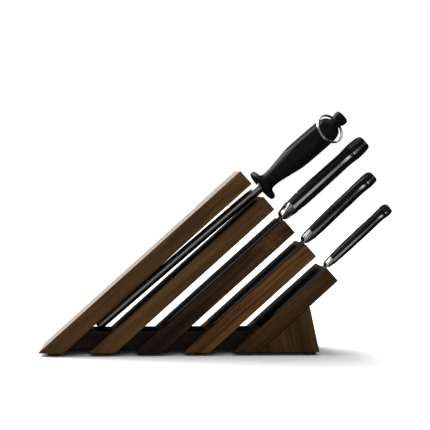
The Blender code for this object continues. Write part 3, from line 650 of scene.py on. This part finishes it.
def build_knife(name, spec):
    matrix = slat_matrix(spec["slat"])
    centre = REST_GAP + spec["heel"][0][3]
    rings = [section_ring(matrix, s, LEVELS["blade"], centre) for s in smooth_stations(spec["blade"], 5)]
    rings += [section_ring(matrix, s, LEVELS["tang"], centre) for s in spec["heel"]]
    bolster = smooth_stations(spec["bolster"], 4)
    rings += [section_ring(matrix, s, bolster_levels(s, bolster), centre) for s in bolster]
    handle = smooth_stations(spec["handle"], 4)
    tang = [(s[0], s[1], s[2], tang_half(s[0], spec)) for s in handle]
    tang[0] = (tang[0][0] + 0.08, *tang[0][1:])
    rings += [section_ring(matrix, s, LEVELS["tang"], centre) for s in tang]
    blade = piece(f"{name}_forged_blade", loft(rings), "blade_steel", name, (f"{name}_blade",), 32.0)
    blade.data.materials.append(MATERIALS["tang_steel"])
    blade.data.materials.append(MATERIALS["bolster_steel"])
    blade.data.materials.append(MATERIALS["spine_steel"])
    origin = matrix.translation
    for polygon in blade.data.polygons:
        along = (polygon.center - origin).dot(ALONG) / MM
        if along > 0.2:
            # Bolster faces take the darker bolster steel, which is painted shade; handle faces take the tang
            # steel.
            polygon.material_index = 2 if along < handle[0][0] else 1
        # Front-facing blade faces, the spine side, take the near-black steel: painted shade.
        elif polygon.normal.y < -0.35:
            polygon.material_index = 3
    scales = [(handle[0][0] + 0.12, *handle[0][1:])] + handle[1:]
    for side, sign in (("outer", 1.0), ("inner", -1.0)):
        rings = [scale_ring(matrix, s, spec, centre, sign) for s in scales]
        piece(f"{name}_grip_{side}", loft(rings), "handle_black", name, (f"{name}_scale_{side}",), 40.0)
    for number, along in enumerate(spec["rivets"], 1):
        _, spine, belly, half = station_at(handle, along)
        middle = Vector((along, (spine + belly) / 2.0, centre)) * MM
        radius = spec["rivet_radius"]
        reach = half + 0.04
        profile = ((0.0, -reach), (radius * 0.5, -reach + 0.01), (radius - 0.25, 0.05 - reach),
                   (radius, 0.3 - reach), (radius, reach - 0.3), (radius - 0.25, reach - 0.05),
                   (radius * 0.5, reach - 0.01), (0.0, reach))
        data = lathe(profile, matrix @ Matrix.Translation(middle), 40)
        piece(f"{name}_pin_{number}", data, "rivet_steel", name, (f"{name}_rivet_{number}",), 40.0)


for knife_name, knife_spec in KNIVES.items():
    build_knife(knife_name, knife_spec)


# ---------------------------------------------------------------- sharpening steel

# The rod rests on its slat as if ROD_RADIUS thick. The shown rod is slimmer, and leans off the axis.
ROD_RADIUS = 6.9
ROD_CORE = 5.8
ROD_TIP = -258.4
ROD_TOP = -14.0
ROD_SIDES = 120
RIB_DEPTH = 0.10
LEAN_AT_TOP = 0.55
LEAN_MOST = 1.05
LEAN_RUN = 90.0
FLAT_DISTANCE = 14.4
FLAT_TURN = math.radians(109.0)
HANDLE_PROFILE = (
    (16.8, -2.0), (18.6, -1.7), (19.7, -0.7),
    (20.15, 0.6), (20.2, 2.0), (19.9, 3.2), (19.1, 4.1), (17.6, 4.8), (15.2, 5.3), (12.9, 5.9), (11.4, 6.8),
    (10.5, 8.0), (9.95, 9.8), (9.7, 12.5), (9.75, 15.5), (10.1, 20.0), (10.85, 25.5), (11.85, 31.5),
    (12.85, 37.5), (13.85, 43.5), (14.8, 49.5), (15.4, 55.5), (15.7, 61.5), (15.75, 68.0), (15.75, 86.0),
    (15.6, 96.0), (15.2, 102.0), (14.4, 106.0), (13.2, 109.2), (11.6, 111.6), (9.9, 113.2), (8.4, 114.1),
    (7.6, 115.0), (7.15, 116.5), (7.1, 118.0), (7.5, 119.6), (8.2, 121.0), (8.7, 122.3), (8.85, 123.6),
    (8.88, 126.5), (8.7, 127.5), (8.2, 128.1),
)


def steel_frame():
    slat = slat_matrix(1)
    rise = (ROD_RADIUS + 0.4) * MM / math.cos(SLAT_ANGLE - STEEL_ANGLE)
    origin = slat @ Vector((0.0, 0.0, rise))
    along = Vector((math.cos(STEEL_ANGLE), 0.0, math.sin(STEEL_ANGLE)))
    side = Vector((0.0, 1.0, 0.0)).cross(along)
    matrix = axes_matrix(origin, side, Vector((0.0, 1.0, 0.0)), along)
    return matrix @ Matrix.Translation((0.0, 0.0, 10.3 * MM))


def build_steel():
    guard = steel_frame()
    rings = []
    low, full = ROD_TIP, ROD_CORE
    stations = ((1.6, low), (3.2, low + 0.1), (4.6, low + 0.8), (5.4, low + 1.7), (full, low + 3.0),
                (full, -200.0), (full, -150.0), (full, -100.0), (full, -50.0), (full, -20.0))
    for radius, height in stations:
        ring = []
        ribbed = radius == full
        lean = -min(LEAN_MOST, LEAN_AT_TOP + (ROD_TOP - height) / LEAN_RUN)
        for index in range(ROD_SIDES):
            angle = 2.0 * math.pi * index / ROD_SIDES
            reach = radius - (RIB_DEPTH if index % 2 and ribbed else 0.0)
            point = Vector((reach * math.cos(angle) + lean, reach * math.sin(angle), height))
            ring.append(guard @ (point * MM))
        rings.append(ring)
    for radius, height in ((full, ROD_TOP), (full, 9.4), (4.0, 9.4), (4.0, 54.8)):
        rings.append(round_ring(radius, ROD_SIDES, height, guard))
    piece("ribbed_rod", loft(rings), "rod_steel", "sharpening_steel", ("steel_rod",), 50.0)

    profile = [(0.0, 55.2), (4.3, 55.2), (4.3, 9.8), (6.6, 9.8), (6.6, -1.8), (6.85, -2.0), (12.0, -2.0)]
    profile += smooth_stations(HANDLE_PROFILE, 4) + [(7.5, 128.38), (6.6, 128.45), (0.0, 128.45)]
    data = lathe(profile, Matrix.Identity(4), 144)
    for vertex in data.verts:
        radius = math.hypot(vertex.co.x, vertex.co.y) / MM
        if radius < 12.0 or vertex.co.z < 20.0 * MM:
            continue
        turn = math.atan2(vertex.co.y, vertex.co.x) + FLAT_TURN + math.pi / 6.0
        turn = turn % (math.pi / 3.0) - math.pi / 6.0
        limit = FLAT_DISTANCE / math.cos(turn)
        scale = (radius ** -70.0 + limit ** -70.0) ** (-1.0 / 70.0) / radius
        vertex.co.x *= scale
        vertex.co.y *= scale
    bmesh.ops.transform(data, matrix=guard, verts=data.verts)
    grip = piece("moulded_grip", data, "grip_black", "sharpening_steel", ("steel_handle",), 30.0)
    neck = guard @ Matrix.Translation((0.0, 0.0, 118.8 * MM))
    across = neck @ Matrix.Rotation(math.pi / 2.0, 4, "Y")
    subtract(grip, lathe(((0.0, -12.0), (2.5, -12.0), (2.5, 12.0), (0.0, 12.0)), across, 40))
    build_ring(neck)


def build_ring(neck):
    radius, wire, flat, hang_at, tilt = 17.6, 0.72, 1.12, 17.35, math.radians(36.0)
    axes = neck.to_3x3()
    side = axes.col[0]
    hang = -(axes.col[2] * math.cos(tilt)) - axes.col[1] * math.sin(tilt)
    face = side.cross(hang)
    middle = neck.translation + hang * (hang_at * MM)
    rings = []
    steps, sides = 220, 14
    start, sweep = 13.0, 694.0  # degrees: almost two turns
    for index in range(steps):
        turned = start + sweep * index / (steps - 1)
        angle = math.radians(100.0 + turned)
        share = min(1.0, max(0.0, (turned - 348.0) / 24.0))
        share = share * share * (3.0 - 2.0 * share)
        outward = side * math.sin(angle) - hang * math.cos(angle)
        centre = middle + outward * (radius * MM) + face * (wire * (2.0 * share - 1.0) * MM)
        end = min(index, steps - 1 - index)
        thickness = (0.55 + 0.45 * min(1.0, end / 2.0)) * MM
        ring = []
        for step in range(sides):
            turn = 2.0 * math.pi * step / sides
            wide = outward * (flat * math.copysign(abs(math.cos(turn)) ** 0.8, math.cos(turn)))
            ring.append(centre + (wide + face * (wire * math.sin(turn))) * thickness)
        rings.append(ring)
    piece("split_ring", loft(rings), "ring_steel", "hanging_ring", ("hanging_ring",), 60.0)


build_steel()


# ---------------------------------------------------------------- floor, light, camera

def build_stage():
    data = bmesh.new()
    bmesh.ops.create_circle(data, cap_ends=True, radius=6.0, segments=96)
    mesh = bpy.data.meshes.new("floor")
    data.to_mesh(mesh)
    data.free()
    floor = bpy.data.objects.new("floor", mesh)
    bpy.context.scene.collection.objects.link(floor)
    mesh.materials.append(floor_material())
    floor.visible_glossy = False


BASE_LEVEL = 0.012
# Soft lamps of the studio: direction, inner and outer half angle in degrees, strength
STUDIO = (
    ((-0.66, 0.36, 0.66), 10.0, 38.0, 10.0),
    ((0.0, 0.0, 1.0), 15.0, 55.0, 1.6),
    ((-0.10, -0.90, 0.30), 4.0, 20.0, 0.90),
    ((-0.05, -0.90, -0.42), 5.0, 22.0, 0.80),
    ((0.0, -1.0, 0.0), 5.0, 24.0, 0.65),
)


def soft_patch(tree, direction, towards, inner, outer, strength):
    """Bright soft area of the studio round a direction."""
    towards = tuple(Vector(towards).normalized())
    near = tree.node("ShaderNodeVectorMath", {0: direction, 1: towards}, operation="DOT_PRODUCT")
    near = near.outputs["Value"]
    inputs = {"Value": near, "From Min": math.cos(math.radians(outer)),
              "From Max": math.cos(math.radians(inner)), "To Min": 0.0, "To Max": strength}
    return tree.node("ShaderNodeMapRange", inputs, interpolation_type="SMOOTHSTEP").outputs[0]


def build_light():
    """White backdrop for the camera, and a dim studio with wide soft lamps round the object."""
    world = bpy.data.worlds.new("studio")
    bpy.context.scene.world = world
    world.use_nodes = True
    tree = Tree(world.node_tree)
    direction = tree.node("ShaderNodeTexCoord").outputs["Generated"]
    level = BASE_LEVEL
    for patch in STUDIO:
        level = tree.math("ADD", level, soft_patch(tree, direction, *patch))
    seen = tree.node("ShaderNodeLightPath").outputs["Is Camera Ray"]
    level = tree.math("MAXIMUM", level, seen)
    background = tree.node("ShaderNodeBackground", {"Color": (1.0, 1.0, 1.0, 1.0), "Strength": level})
    output = tree.node("ShaderNodeOutputWorld")
    tree.tree.links.new(background.outputs[0], output.inputs[0])


def build_camera():
    data = bpy.data.cameras.new("camera")
    data.sensor_width = 36.0
    data.lens = 63.7
    data.shift_x = 0.10
    data.shift_y = -0.0337
    data.dof.use_dof = False
    camera = bpy.data.objects.new("camera", data)
    bpy.context.scene.collection.objects.link(camera)
    yaw, pitch, roll = 0.0392, -0.0213, 0.0030
    forward = Vector((math.sin(yaw) * math.cos(pitch), math.cos(yaw) * math.cos(pitch), math.sin(pitch)))
    right = Vector((math.cos(yaw), -math.sin(yaw), 0.0))
    up = right.cross(forward)
    turned_right = right * math.cos(roll) + up * math.sin(roll)
    turned_up = up * math.cos(roll) - right * math.sin(roll)
    location = Vector((-87.752, -908.536, 199.779)) * MM
    camera.matrix_world = axes_matrix(location, turned_right, turned_up, -forward)
    bpy.context.scene.camera = camera


build_stage()
build_light()
build_camera()
bpy.context.scene.view_settings.view_transform = "Standard"
